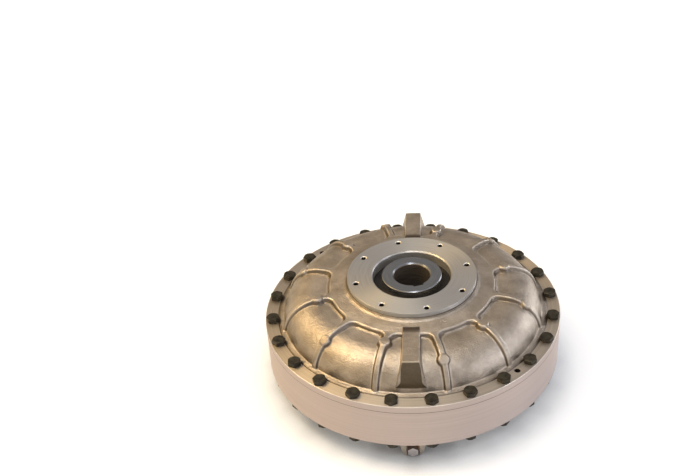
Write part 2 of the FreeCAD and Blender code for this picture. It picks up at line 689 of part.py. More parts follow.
def make_rim_bolts():
    body = new_body("rim_bolts")
    head = cross_sketch(body, "head_section", "180 / bolt_count", RIM_FRONT)
    add_outline(head, hexagon(BOLT_CIRCLE, "0", "bolt_head_across"))
    tail = "(rear_drop - nut_height - bolt_end)"
    shank = cross_sketch(body, "shank_section", "180 / bolt_count", tail)
    add_circle(shank, BOLT_CIRCLE, "0", "bolt_r")
    repeated(body, "bolts", [
        raised(body, "head", head, "bolt_head_height"),
        raised(body, "shank", shank, f"{RIM_FRONT} - {tail}"),
    ], "bolt_count")
    return body


def make_rim_nuts():
    body = new_body("rim_nuts")
    section = cross_sketch(body, "nut_section", "180 / bolt_count", "rear_drop - nut_height")
    add_outline(section, hexagon(BOLT_CIRCLE, "0", "bolt_head_across"))
    add_circle(section, BOLT_CIRCLE, "0", "bolt_r + thread_play")
    repeated(body, "nuts", [raised(body, "nut", section, "nut_height")], "bolt_count")
    return body


def make_wheel_screws():
    """Socket cap screws that hold the inner wheel to the shaft flange."""
    body = new_body("wheel_screws")
    head = cross_sketch(body, "head_section", "0", DISC_TOP)
    add_circle(head, "screw_circle_r", "0", "screw_head_r")
    shank = cross_sketch(body, "shank_section", "0", FLANGE_BOTTOM)
    add_circle(shank, "screw_circle_r", "0", "screw_r")
    socket = cross_sketch(body, "socket_section", "0", f"{DISC_TOP} + screw_head_height")
    add_outline(socket, hexagon("screw_circle_r", "0", "socket_across"))
    repeated(body, "screws", [
        raised(body, "head", head, "screw_head_height"),
        raised(body, "shank", shank, f"{DISC_TOP} - {FLANGE_BOTTOM}"),
        sunk(body, "socket", socket, "socket_depth"),
    ], "screw_count")
    return body


def make_joint_cord():
    """The rubber cord squeezed between the cover and the rim."""
    body = new_body("joint_cord")
    floor = f"{JOINT} - cord_height"
    middle = f"{JOINT} - cord_height / 2"
    inner = f"{CORD_CIRCLE} - cord_flat / 2"
    outer = f"{CORD_CIRCLE} + cord_flat / 2"
    side = "cord_height / 2"
    turned(body, "cord", [
        (inner, floor),
        (outer, floor),
        (f"{outer} + {side}", middle),
        (outer, JOINT),
        (inner, JOINT),
        (f"{inner} - {side}", middle),
    ])
    return body


def make_outer_race(front):
    body = new_body(end_name(front) + "_bearing_outer_race")
    at = depth_of(front)
    near, far = "bearing_in", "bearing_in + bearing_width"
    rib = "(bearing_width - roller_length) / 2 - roller_play"
    turned(body, "race", [
        ("bearing_r - fit", at(near)),
        ("bearing_r - fit", at(far)),
        ("race_outer_r - race_rib", at(far)),
        ("race_outer_r - race_rib", at(f"{far} - ({rib})")),
        ("race_outer_r", at(f"{far} - ({rib})")),
        ("race_outer_r", at(f"{near} + {rib}")),
        ("race_outer_r - race_rib", at(f"{near} + {rib}")),
        ("race_outer_r - race_rib", at(near)),
    ])
    return body


def make_inner_race(front):
    """Inner race with one rib, on the side away from the hub face."""
    body = new_body(end_name(front) + "_bearing_inner_race")
    at = depth_of(front)
    near, far = "bearing_in", "bearing_in + bearing_width"
    rib = "(bearing_width - roller_length) / 2 - roller_play"
    turned(body, "race", [
        ("shaft_r + fit", at(near)),
        ("race_inner_r", at(near)),
        ("race_inner_r", at(f"{far} - ({rib})")),
        ("race_inner_r + race_rib", at(f"{far} - ({rib})")),
        ("race_inner_r + race_rib", at(far)),
        ("shaft_r + fit", at(far)),
    ])
    return body


def bearing_bottom(front, width):
    """Lower level of something that is centred in the width of a bearing."""
    middle = depth_of(front)("bearing_in + bearing_width / 2")
    return f"({middle} - ({width}) / 2)"


def make_rollers(front):
    body = new_body(end_name(front) + "_bearing_rollers")
    sketch = cross_sketch(body, "roller_section", "0", bearing_bottom(front, "roller_length"))
    add_circle(sketch, "(race_inner_r + race_outer_r) / 2", "0",
               "(race_outer_r - race_inner_r) / 2 - roller_play")
    repeated(body, "rollers", [raised(body, "roller", sketch, "roller_length")], "roller_count")
    return body


def make_cage(front):
    """Brass cage: a ring with a window for each roller."""
    body = new_body(end_name(front) + "_bearing_cage")
    at = depth_of(front)
    middle = "(race_inner_r + race_outer_r) / 2"
    half = "cage_width / 2"
    centre = "bearing_in + bearing_width / 2"
    turned(body, "ring", box_outline(
        f"{middle} - cage_wall / 2", at(f"{centre} - {half}"),
        f"{middle} + cage_wall / 2", at(f"{centre} + {half}")))
    length = "roller_length + 4 * roller_play"
    window = cross_sketch(body, "window_section", "0", bearing_bottom(front, f"-({length})"))
    add_circle(window, middle, "0", "(race_outer_r - race_inner_r) / 2 + roller_play")
    repeated(body, "windows", [sunk(body, "window", window, length)], "roller_count")
    return body


def make_retaining_ring(front):
    """Open spring ring in the shaft groove beside the bearing."""
    body = new_body(end_name(front) + "_retaining_ring")
    at = depth_of(front)
    turned(body, "ring", box_outline(
        "shaft_r - ring_depth + fit", at("bearing_in"),
        "shaft_r + ring_out", at("bearing_in - ring_width")))
    opening = cross_sketch(body, "opening", "key_angle", FRONT_FACE)
    add_outline(opening, box_outline("0", "-ring_slot / 2", "bearing_r", "ring_slot / 2"))
    sunk(body, "slot", opening, FRONT_FACE)
    return body


def make_seal_case(front):
    """Pressed steel case of the oil seal: outer wall and face."""
    body = new_body(end_name(front) + "_seal_case")
    at = depth_of(front)
    turned(body, "case", [
        ("mouth_r - fit", at("seal_in")),
        ("mouth_r - fit", at("seal_in + seal_width")),
        ("mouth_r - fit - seal_shell", at("seal_in + seal_width")),
        ("mouth_r - fit - seal_shell", at("seal_in + seal_shell")),
        ("shaft_r + ring_out", at("seal_in + seal_shell")),
        ("shaft_r + ring_out", at("seal_in")),
    ])
    return body


def make_seal_lip(front):
    """Rubber lip that hangs from the case face and rubs on the shaft."""
    body = new_body(end_name(front) + "_seal_lip")
    at = depth_of(front)
    turned(body, "lip", [
        ("shaft_r + ring_out", at("seal_in")),
        ("shaft_r + ring_out", at("seal_in + seal_shell")),
        ("shaft_r + ring_out + seal_shell", at("seal_in + seal_shell")),
        ("shaft_r + ring_out + seal_shell", at("seal_in + 2 * seal_shell")),
        ("shaft_r + ring_out", at("seal_in + 2 * seal_shell")),
        ("shaft_r + seal_shell", at("seal_in + 3 * seal_shell")),
        ("shaft_r + seal_shell", at("seal_in + 4 * seal_shell")),
        ("shaft_r + thread_play", at("seal_in + 3.5 * seal_shell")),
        ("shaft_r + seal_shell", at("seal_in + 1.5 * seal_shell")),
        ("shaft_r + thread_play", at("seal_in")),
    ])
    return body


def make_seal_spring(front):
    """Garter spring that closes the lip, as one ring of its coil's outer size."""
    body = new_body(end_name(front) + "_seal_spring")
    height = depth_of(front)("seal_in + 3.5 * seal_shell")
    turned(body, "coil", hexagon("shaft_r + seal_shell * 1.2 + seal_spring_r", height,
                                 "2 * seal_spring_r"))
    return body


def plug_body(name, bore):
    """A hexagon-headed screw plug in the lug at -90 degrees."""
    body = new_body(name)
    seat = "(slot_floor_r + gasket_height)"
    head = new_sketch(body, "head_section", "XZ_Plane", seat)
    add_outline(head, hexagon("0", "plug_height", "plug_head_across", 30))
    raised(body, "head", head, "plug_head_height")
    thread = radial_sketch(body, "thread_section", "-90", lift="plug_height")
    add_outline(thread, box_outline("slot_floor_r - plug_length", "0", seat, "plug_r"))
    turned_on(body, "thread", thread, "H_Axis")
    if bore:
        hole = radial_sketch(body, "bore_section", "-90", lift="plug_height")
        add_outline(hole, box_outline("slot_floor_r - plug_length - 1", "0",
                                      f"{seat} + plug_head_height + 1", "fuse_core_r"))
        turned_on(body, "bore", hole, "H_Axis", cut=True)
    return body


def make_filler_plug():
    return plug_body("filler_plug", False)


def make_fusible_plug():
    return to_far_lug(plug_body("fusible_plug", True))


def to_far_lug(body):
    """Move a piece made at -90 degrees to the lug on the other side."""
    body.Placement = FreeCAD.Placement(
        FreeCAD.Vector(0, 0, 0), FreeCAD.Rotation(FreeCAD.Vector(0, 0, 1), 180))
    return body


def make_fusible_core():
    """Low-melting metal that fills the fusible plug's bore."""
    body = new_body("fusible_core")
    section = radial_sketch(body, "core_section", "-90", lift="plug_height")
    add_outline(section, box_outline(
        "slot_floor_r - plug_length", "0",
        "slot_floor_r + gasket_height + plug_head_height", "fuse_core_r"))
    turned_on(body, "core", section, "H_Axis")
    return to_far_lug(body)


def gasket(name):
    body = new_body(name)
    section = radial_sketch(body, "gasket_section", "-90", lift="plug_height")
    add_outline(section, box_outline("slot_floor_r", "plug_r + thread_play",
                                     "slot_floor_r + gasket_height", "gasket_r"))
    turned_on(body, "gasket", section, "H_Axis")
    return body


def make_filler_gasket():
    return gasket("filler_plug_gasket")


def make_fusible_gasket():
    return to_far_lug(gasket("fusible_plug_gasket"))


def build():
    pieces = [
        make_front_cover(),
        make_rear_casing(),
        make_inner_wheel(),
        make_hollow_shaft(),
        make_wheel_screws(),
        make_rim_bolts(),
        make_rim_nuts(),
        make_joint_cord(),
        make_filler_plug(),
        make_filler_gasket(),
        make_fusible_plug(),
        make_fusible_gasket(),
        make_fusible_core(),
    ]
    for front in (True, False):
        for make in (make_outer_race, make_inner_race, make_rollers, make_cage,
                     make_retaining_ring, make_seal_case, make_seal_lip, make_seal_spring):
            pieces.append(make(front))
    return pieces


def checked(pieces):
    """Stop before anything is written if a feature failed or a piece isn't sound."""
    failed = [item.Name for item in doc.Objects if {"Invalid", "Error"} & set(item.State)]
    if failed:
        raise RuntimeError(f"These parts of the model failed: {failed}")
    for piece in pieces:
        if piece.Shape.isNull() or not piece.Shape.isValid():
            raise RuntimeError(f"{piece.Label} has no sound shape")
    return pieces


pieces = build()
doc.recompute()
os.makedirs("parts", exist_ok=True)
for piece in checked(pieces):
    piece.Shape.exportStep(os.path.join("parts", piece.Label + ".step"))
    print(piece.Label, len(piece.Shape.Solids), round(piece.Shape.Volume))
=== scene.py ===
import math
from types import SimpleNamespace

import bmesh
import bpy
import numpy as np
from mathutils import Matrix, Vector

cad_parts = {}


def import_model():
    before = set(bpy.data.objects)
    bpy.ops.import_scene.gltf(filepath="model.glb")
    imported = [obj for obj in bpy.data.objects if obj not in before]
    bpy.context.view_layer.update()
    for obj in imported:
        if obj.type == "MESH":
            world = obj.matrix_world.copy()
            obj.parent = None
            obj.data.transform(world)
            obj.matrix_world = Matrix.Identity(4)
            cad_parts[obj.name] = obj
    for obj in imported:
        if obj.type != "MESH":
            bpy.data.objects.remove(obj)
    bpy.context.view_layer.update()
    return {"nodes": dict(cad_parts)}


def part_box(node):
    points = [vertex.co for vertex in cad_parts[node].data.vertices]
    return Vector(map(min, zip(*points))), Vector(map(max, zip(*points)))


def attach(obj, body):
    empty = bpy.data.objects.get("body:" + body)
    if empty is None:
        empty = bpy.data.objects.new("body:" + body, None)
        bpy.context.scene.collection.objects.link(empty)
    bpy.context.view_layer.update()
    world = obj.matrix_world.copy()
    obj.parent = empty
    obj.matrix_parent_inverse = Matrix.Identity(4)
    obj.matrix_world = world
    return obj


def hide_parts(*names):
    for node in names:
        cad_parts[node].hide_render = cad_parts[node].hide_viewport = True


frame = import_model()
nodes = frame["nodes"]

# The view: the coupling lies on its rear hub with its axis upright, seen from above
# the filler plug side. The long lens stands about a metre and a half away.

view_target = Vector((0.0, 0.0, 0.124))
view_distance = 1.46
view_height = math.radians(36.99)
view_round = math.radians(-88.4)
view_roll = math.radians(-1.74)
film_width = 36.0
lens_length = 55.54
lens_shift = (-0.0891, 0.0786)

outward = Vector((
    math.cos(view_height) * math.cos(view_round),
    math.cos(view_height) * math.sin(view_round),
    math.sin(view_height),
))
lens_data = bpy.data.cameras.new("view_lens")
lens_data.sensor_width = film_width
lens_data.lens = lens_length
lens_data.shift_x, lens_data.shift_y = lens_shift
lens_data.clip_start = 0.05
camera = bpy.data.objects.new("view_camera", lens_data)
bpy.context.scene.collection.objects.link(camera)
aim = (-outward).to_track_quat("-Z", "Y")
camera.matrix_world = (
    Matrix.Translation(view_target + outward * view_distance)
    @ aim.to_matrix().to_4x4()
    @ Matrix.Rotation(view_roll, 4, "Z")
)
bpy.context.scene.camera = camera


# The floor: a pale paper sweep. It takes the soft shadow under the rim, and away from the coupling
# it shows to the lens as white. Near the coupling, the colour and glow that the lens sees are
# darkened by ambient occlusion. This is a painted contact shadow on top of the real one.

floor_half = 6.0
paper_colours = [(0.80, 0.86, 0.95, 1.0), (0.78, 0.84, 0.93, 1.0)]
shadow_lift = 0.27
lift_from, white_past = 0.40, 1.60
painted_shadow_reach = 0.045


def new_material(name):
    """A new material, its node tree and its shader."""
    material = bpy.data.materials.new(name)
    material.use_nodes = True
    return material, material.node_tree, material.node_tree.nodes["Principled BSDF"]


def add_node(tree, kind, inputs=None, **settings):
    """A shader node with its settings and the constants on its sockets."""
    node = tree.nodes.new(kind)
    for key, value in settings.items():
        setattr(node, key, value)
    for key, value in (inputs or {}).items():
        node.inputs[key].default_value = value
    return node


def calculated(tree, operation, first, second):
    """One sum on sockets or numbers."""
    node = add_node(tree, "ShaderNodeMath", operation=operation)
    for index, value in enumerate((first, second)):
        if isinstance(value, (int, float)):
            node.inputs[index].default_value = value
        else:
            tree.links.new(value, node.inputs[index])
    return node.outputs[0]


def spread(tree, value, start, end, low=0.0, high=1.0):
    """A value's range from start to end, spread over low to high and held past its ends."""
    node = add_node(tree, "ShaderNodeMapRange", {
        "From Min": start, "From Max": end, "To Min": low, "To Max": high})
    tree.links.new(value, node.inputs["Value"])
    return node.outputs["Result"]


def two_tones(tree, factor, colours, low=0.0, high=1.0):
    """A colour between two tones, driven by a texture's value."""
    tone = add_node(tree, "ShaderNodeValToRGB")
    for element, position, colour in zip(tone.color_ramp.elements, (low, high), colours):
        element.position = position
        element.color = colour
    tree.links.new(factor, tone.inputs["Fac"])
    return tone.outputs["Color"]


def mixed(tree, factor, first, second):
    """The first colour where the factor is 0 and the second where it is 1."""
    node = add_node(tree, "ShaderNodeMix", data_type="RGBA")
    tree.links.new(factor, node.inputs["Factor"])
    tree.links.new(first, node.inputs["A"])
    tree.links.new(second, node.inputs["B"])
    return node.outputs["Result"]


paper, paper_tree, paper_shader = new_material("floor_paper")
paper_grain = add_node(paper_tree, "ShaderNodeTexNoise", {"Scale": 3.0, "Detail": 2.0})
paper_tone = two_tones(paper_tree, paper_grain.outputs["Fac"], paper_colours)
# Painted contact shadow: ambient occlusion darkens the paper's colour and glow, as the lens sees
# them, near the coupling.
painted_contact_shadow = add_node(paper_tree, "ShaderNodeAmbientOcclusion", {"Distance": painted_shadow_reach},
                         samples=8)
paper_tree.links.new(paper_tone, painted_contact_shadow.inputs["Color"])
to_lens = add_node(paper_tree, "ShaderNodeLightPath").outputs["Is Camera Ray"]
paper_tree.links.new(mixed(paper_tree, to_lens, paper_tone, painted_contact_shadow.outputs["Color"]),
                     paper_shader.inputs["Base Color"])
paper_place = add_node(paper_tree, "ShaderNodeTexCoord").outputs["Object"]
paper_away = add_node(paper_tree, "ShaderNodeVectorMath", operation="LENGTH")
paper_tree.links.new(paper_place, paper_away.inputs[0])
paper_lift = spread(paper_tree, paper_away.outputs["Value"], lift_from, white_past, shadow_lift)
paper_glow = calculated(paper_tree, "MULTIPLY", to_lens, painted_contact_shadow.outputs["AO"])
paper_tree.links.new(calculated(paper_tree, "MULTIPLY", paper_glow, paper_lift),
                     paper_shader.inputs["Emission Strength"])
paper_shader.inputs["Emission Color"].default_value = (1.0, 1.0, 1.0, 1.0)
paper_shader.inputs["Roughness"].default_value = 0.9
paper_shader.inputs["Specular IOR Level"].default_value = 0.1

floor_mesh = bpy.data.meshes.new("floor")
floor_corners = [(-1, -1), (1, -1), (1, 1), (-1, 1)]
floor_mesh.from_pydata([(x * floor_half, y * floor_half, 0.0) for x, y in floor_corners],
                       [], [(0, 1, 2, 3)])
floor = bpy.data.objects.new("floor", floor_mesh)
floor.data.materials.append(paper)
bpy.context.scene.collection.objects.link(floor)


# The light: soft panels overhead, on the warm left, two on the right and one high in
# front, as in a small product studio. The room is amber on the left, grey on the right,
# dimmer overhead and dark at the far side. To the lens it is white.

panels = [
    ("overhead_panel", (-0.35, -0.30, 2.0), 0.9, 12.0, (1.0, 0.92, 0.78)),
    ("warm_panel", (-1.25, 0.20, 1.62), 0.75, 20.0, (1.0, 0.69, 0.33)),
    ("right_panel", (1.6, 1.0, 0.34), 0.7, 6.0, (1.0, 0.97, 0.96)),
    ("front_panel", (0.3, -1.7, 2.6), 0.7, 11.5, (1.0, 0.98, 0.96)),
    ("side_panel", (2.2, -0.8, 0.9), 0.8, 11.0, (1.0, 0.98, 1.0)),
]
room_left, room_left_to = (1.0, 0.71, 0.36, 1.0), 0.05
room_middle, room_middle_at = (0.80, 0.70, 0.60, 1.0), 0.5
room_right, room_right_from = (0.66, 0.64, 0.66, 1.0), 0.95
room_top_height, room_top_level = 0.9, 0.62
room_far_from, room_far_past, room_far_level = 0.82, 0.96, 0.25

for name, place, size, power, tint in panels:
    panel_data = bpy.data.lights.new(name, "AREA")
    panel_data.shape = "SQUARE"
    panel_data.size = size
    panel_data.energy = power
    panel_data.color = tint
    panel = bpy.data.objects.new(name, panel_data)
    panel.location = place
    panel.rotation_euler = (view_target - Vector(place)).to_track_quat("-Z", "Y").to_euler()
    bpy.context.scene.collection.objects.link(panel)

room = bpy.data.worlds.new("room")
room.use_nodes = True
bpy.context.scene.world = room
room_tree = room.node_tree
room_tree.nodes.clear()
room_way = add_node(room_tree, "ShaderNodeTexCoord").outputs["Generated"]
room_split = add_node(room_tree, "ShaderNodeSeparateXYZ")
room_tree.links.new(room_way, room_split.inputs["Vector"])
room_side = spread(room_tree, room_split.outputs["X"], -1.0, 1.0)
room_tint = two_tones(room_tree, room_side, [room_left, room_right], room_left_to, room_right_from)
room_tint.node.color_ramp.elements.new(room_middle_at).color = room_middle
room_up = spread(room_tree, room_split.outputs["Z"], 0.0, room_top_height, 1.0, room_top_level)
room_back = spread(room_tree, room_split.outputs["Y"], room_far_from, room_far_past,
                   1.0, room_far_level)
room_light = add_node(room_tree, "ShaderNodeBackground")
room_tree.links.new(room_tint, room_light.inputs["Color"])
room_tree.links.new(calculated(room_tree, "MULTIPLY", room_up, room_back),
                    room_light.inputs["Strength"])
room_white = add_node(room_tree, "ShaderNodeBackground", {"Color": (1, 1, 1, 1), "Strength": 1.0})
room_path = add_node(room_tree, "ShaderNodeLightPath")
room_mix = add_node(room_tree, "ShaderNodeMixShader")
room_out = add_node(room_tree, "ShaderNodeOutputWorld")
room_tree.links.new(room_path.outputs["Is Camera Ray"], room_mix.inputs["Fac"])
room_tree.links.new(room_light.outputs["Background"], room_mix.inputs[1])
room_tree.links.new(room_white.outputs["Background"], room_mix.inputs[2])
room_tree.links.new(room_mix.outputs["Shader"], room_out.inputs["Surface"])
bpy.context.scene.view_settings.view_transform = "Standard"


# The castings: sand-cast aluminium, left as cast on the domes and turned bright on
# the rim, the cover flange, the hub faces and the seats of the bearings. The front
# cover and the rear casing meet in a fine seam round the rim.

rim_radius = 0.200
rim_top = 0.100
joint_height = 0.090
seam_half, seam_share = 0.00035, 0.75
rim_wall, edge_break = 0.0012, 0.0008
hub_flange_radius, hub_margin = 0.0865, 0.0003
flange_inner_radius = 0.1772
flange_hole_radii = (0.1835, 0.1960)
flange_hole_mouth = 0.0988
tap_radii = (0.0720, 0.0808)
tap_mouth = 0.1549
tap_highlight_radii = (0.0716, 0.0812)
tap_highlight_heights = (0.1550, 0.15585)

cast_colours = [(0.32, 0.284, 0.247, 1.0), (0.555, 0.508, 0.458, 1.0)]
# The colour of the fine dark seam between the castings, also used for the painted shade on the dome
# skins.
seam_and_shade_colour = (0.060, 0.044, 0.030, 1.0)
turned_colours = [(0.47, 0.475, 0.48, 1.0), (0.62, 0.63, 0.64, 1.0)]
flange_colours = [(0.45, 0.41, 0.36, 1.0), (0.60, 0.55, 0.49, 1.0)]
rim_colours = [(0.52, 0.452, 0.435, 1.0), (0.60, 0.526, 0.508, 1.0)]
highlight_colours = [(0.80, 0.76, 0.73, 1.0), (0.92, 0.89, 0.87, 1.0)]
hole_shade_colours = [(0.030, 0.026, 0.022, 1.0), (0.060, 0.052, 0.045, 1.0)]
cast_roughness, sand_roughness = 0.30, 0.26
ring_spacing, ring_depth = 0.0006, 0.22
swell_depth = 0.9
band_edge = 0.0002


def past(tree, value, edge, width=band_edge):
    """0 before an edge and 1 past it, over a narrow width each side."""
    return spread(tree, value, edge - width, edge + width)


def before(tree, value, edge, width=band_edge):
    """1 before an edge and 0 past it."""
    return calculated(tree, "SUBTRACT", 1.0, past(tree, value, edge, width))


def between(tree, value, edges, width=band_edge):
    """1 between two edges and 0 outside them."""
    return calculated(tree, "MULTIPLY", past(tree, value, edges[0], width),
                      before(tree, value, edges[1], width))


def rim_band(tree, radius, height):
    return past(tree, radius, rim_radius - rim_wall, 0.0003)


def flange_band(tree, radius, height):
    return past(tree, radius, flange_inner_radius, 0.0004)


def hub_band(tree, radius, height):
    return before(tree, radius, hub_flange_radius + hub_margin, 0.0001)


def edge_highlight_band(tree, radius, height):
    """A painted highlight on the broken edge round the cover."""
    return calculated(tree, "MULTIPLY", past(tree, radius, rim_radius - edge_break),
                      past(tree, height, rim_top - edge_break, 0.0003))


def hole_shade_band(tree, radius, height):
    """The walls of the tapped, bolt and jacking holes, painted dark inside as shade."""
    flange_holes = calculated(tree, "MULTIPLY", before(tree, height, flange_hole_mouth),
                              between(tree, radius, flange_hole_radii))
    taps = calculated(tree, "MULTIPLY", before(tree, height, tap_mouth),
                      between(tree, radius, tap_radii))
    return calculated(tree, "MAXIMUM", flange_holes, taps)


def tap_highlight_band(tree, radius, height):
    """A painted highlight on the countersunk mouths of the front hub's tapped holes, just under the
    hub face.
    """
    return calculated(tree, "MULTIPLY", between(tree, height, tap_highlight_heights, 0.00005),
                      between(tree, radius, tap_highlight_radii, 0.0001))


def cylinder_place(tree):
    """Sockets for the place on the part: vector, radius from the axis, height and angle."""
    place = add_node(tree, "ShaderNodeTexCoord").outputs["Object"]
    split = add_node(tree, "ShaderNodeSeparateXYZ")
    tree.links.new(place, split.inputs["Vector"])
    flat = add_node(tree, "ShaderNodeCombineXYZ")
    tree.links.new(split.outputs["X"], flat.inputs["X"])
    tree.links.new(split.outputs["Y"], flat.inputs["Y"])
    reach = add_node(tree, "ShaderNodeVectorMath", operation="LENGTH")
    tree.links.new(flat.outputs["Vector"], reach.inputs[0])
    angle = calculated(tree, "ARCTAN2", split.outputs["Y"], split.outputs["X"])
    return place, reach.outputs["Value"], split.outputs["Z"], angle


def turning_marks(tree, radius, height, angle, spacing, breaks=1.2):
    """Fine rings that a lathe tool leaves, broken up a little round the part."""
    rings = add_node(tree, "ShaderNodeCombineXYZ")
    tree.links.new(calculated(tree, "MULTIPLY", radius, 1.0 / spacing), rings.inputs["X"])
    tree.links.new(calculated(tree, "MULTIPLY", height, 1.0 / spacing), rings.inputs["Y"])
    tree.links.new(calculated(tree, "MULTIPLY", angle, breaks), rings.inputs["Z"])
    marks = add_node(tree, "ShaderNodeTexNoise", {"Scale": 1.0, "Detail": 3.0})
    tree.links.new(rings.outputs["Vector"], marks.inputs["Vector"])
    return marks.outputs["Fac"]


def plain_colour(tree, colour):
    node = add_node(tree, "ShaderNodeRGB")
    node.outputs[0].default_value = colour
    return node.outputs[0]


def casting_material(name, machined_bands=(), drawn_marks=()):
    """Cast skin. A machined band is a mask's maker, its colours and its roughness. A drawn
    mark is an attribute of the mesh, its colour, its share and the roughness it adds."""
    material, tree, shader = new_material(name)
    place, radius, height, angle = cylinder_place(tree)
    blotch = add_node(tree, "ShaderNodeTexNoise", {"Scale": 34.0, "Detail": 5.0, "Roughness": 0.62})
    sand = add_node(tree, "ShaderNodeTexNoise", {"Scale": 560.0, "Detail": 3.0})
    swell = add_node(tree, "ShaderNodeTexNoise", {"Scale": 150.0, "Detail": 2.0})
    for texture in (blotch, sand, swell):
        tree.links.new(place, texture.inputs["Vector"])
    colour = two_tones(tree, blotch.outputs["Fac"], cast_colours, 0.30, 0.70)
    roughness = calculated(tree, "MULTIPLY", sand.outputs["Fac"], sand_roughness)
    roughness = calculated(tree, "ADD", roughness, cast_roughness)
    relief = calculated(tree, "MULTIPLY", swell.outputs["Fac"], swell_depth)
    relief = calculated(tree, "ADD", sand.outputs["Fac"], relief)
    for mark, tone, share, rougher in drawn_marks:
        drawn = add_node(tree, "ShaderNodeAttribute", attribute_name=mark)
        amount = calculated(tree, "MULTIPLY", drawn.outputs["Fac"], share)
        colour = mixed(tree, amount, colour, plain_colour(tree, tone))
        if rougher:
            added = calculated(tree, "MULTIPLY", amount, rougher)
            roughness = calculated(tree, "ADD", roughness, added)
    bump = add_node(tree, "ShaderNodeBump", {"Strength": 0.8, "Distance": 0.0008})
    if machined_bands:
        rings = turning_marks(tree, radius, height, angle, ring_spacing)
        ring_relief = calculated(tree, "MULTIPLY", rings, ring_depth)
        for band, colours, band_roughness in machined_bands:
            turned = band(tree, radius, height)
            cast = calculated(tree, "SUBTRACT", 1.0, turned)
            colour = mixed(tree, turned, colour, two_tones(tree, rings, colours, 0.3, 0.7))
            roughness = calculated(tree, "ADD", calculated(tree, "MULTIPLY", roughness, cast),
                                   calculated(tree, "MULTIPLY", turned, band_roughness))
            relief = calculated(tree, "ADD", calculated(tree, "MULTIPLY", relief, cast),
                                calculated(tree, "MULTIPLY", ring_relief, turned))
        seam = add_node(tree, "ShaderNodeMath", {1: joint_height, 2: seam_half},
                        operation="COMPARE")
        tree.links.new(height, seam.inputs[0])
        colour = mixed(tree, calculated(tree, "MULTIPLY", seam.outputs[0], seam_share), colour,
                       plain_colour(tree, seam_and_shade_colour))
        tangent = add_node(tree, "ShaderNodeTangent", direction_type="RADIAL", axis="Z")
        tree.links.new(tangent.outputs["Tangent"], shader.inputs["Tangent"])
        shader.inputs["Anisotropic"].default_value = 0.62
        shader.inputs["Anisotropic Rotation"].default_value = 0.25
        softened = add_node(tree, "ShaderNodeBevel", {"Radius": 0.0012}, samples=4)
        tree.links.new(softened.outputs["Normal"], bump.inputs["Normal"])
    tree.links.new(relief, bump.inputs["Height"])
    tree.links.new(bump.outputs["Normal"], shader.inputs["Normal"])
    tree.links.new(colour, shader.inputs["Base Color"])
    tree.links.new(roughness, shader.inputs["Roughness"])
    shader.inputs["Metallic"].default_value = 1.0
    return material


def finish_node(name, material):
    """Give a node of the frame its finish."""
    nodes[name].data.materials.clear()
    nodes[name].data.materials.append(material)


cover_metal = casting_material("cover_casting", [
    (flange_band, flange_colours, 0.56),
    (hub_band, turned_colours, 0.46),
    (rim_band, rim_colours, 0.48),
    # The last three bands are painted light and shade: a painted highlight on the cover's top edge
    # and at the tapped holes' mouths, and painted shade inside the holes.
    (edge_highlight_band, highlight_colours, 0.35),
    (tap_highlight_band, highlight_colours, 0.32),
    (hole_shade_band, hole_shade_colours, 0.60),
])
casing_metal = casting_material("rear_casting", [
    (hub_band, turned_colours, 0.46),
    (rim_band, rim_colours, 0.48),
])
finish_node("front_cover", cover_metal)
finish_node("rear_casing", casing_metal)
finish_node("inner_wheel", casing_metal)


# The domes' cast skins: the outside of both castings between the hub flange and
# the rim, with the drafted ribs, their round bosses and the lugs, all run together
# with the soft fillets that a foundry pattern has. All sizes here are in millimetres.

section_r = 131.0
hub_r = 86.6
plateau_r, plateau_foot_r, plateau_edge_r = 107.0, 93.0, 110.5
plateau_rise, plateau_dish, hub_fillet_rise, plateau_ramp = 6.5, 2.0, 3.2, (-2.3, 2.2)
rib_count, rib_start = 12, 15.0
rib_angles = [rib_start + 360.0 / rib_count * k for k in range(rib_count)]
rib_mid_r, rib_half_width, wall_slope = 128.0, 2.9, 2.1
top_rounding, foot_fillet, corner_fillet, pip_fillet = 1.2, 2.0, 11.0, 1.6
pip_reaches, pip_radius, pip_proud, pip_ramp = (126.5, 154.0), 6.6, 1.2, (-0.6, 1.0)
lug_angles = (90.0, 270.0)
lug_top, lug_top_half, lug_side_draft = 51.7, 10.6, 0.235
lug_end_r, lug_end_draft, lug_nose_r, lug_edge_r, lug_fillet = 174.9, 0.15, 1.6, 2.2, 2.4
lug_root_drop, lug_root_ramp = 12.0, (2.0, 8.0)
land_rise, land_fillet, land_drop = 0.45, 3.4, 0.6
skin_cover, skin_depth = 0.35, 1.6
arc_rows, flat_rows, rows_per_under_row = 76, 47, 12
rib_zone, lug_zone, coarse_step = 6.0, 8.4, 2.0
far_away, far_above, far_below = 40.0, 90.0, -60.0
near_cosine = 0.9
metre = 1000.0

# Painted highlights on the skins: along the rib and plateau crests, just past the feet of the rib
# walls, and along the lugs' edges.
painted_highlight_colour = (0.80, 0.76, 0.70, 1.0)
# Painted shade on the lugs' end faces, which are also made rougher.
end_shade_colour = (0.115, 0.092, 0.062, 1.0)
full_paint_height = 3.0
# Painted shade on the skins: at the feet of the rib walls, round the hub's foot and along the lugs'
# feet.
wall_shade, wall_from, wall_past = 0.8, (0.1, 0.9), (0.1, 1.0)
hub_foot_shade, hub_foot_shade_ramp = 0.75, (0.8, 5.5)
foot_highlight_at, foot_highlight_width, foot_highlight_off_pip = 1.9, 0.7, (4.0, 9.0)
crest_highlight_at, crest_highlight_width = -0.3, 0.6
lug_shade_at, lug_shade_width, lug_shade_from_angle = 0.6, 1.3, 0.325
end_shade_from_angle, end_shade_from_height = 0.335, 0.1
lug_highlight_width, lug_highlight_from_height = 1.1, 0.8
# Painted shade along the land's edge, two rows wide.
land_shade_rows, land_edge_shade = 2, 0.85
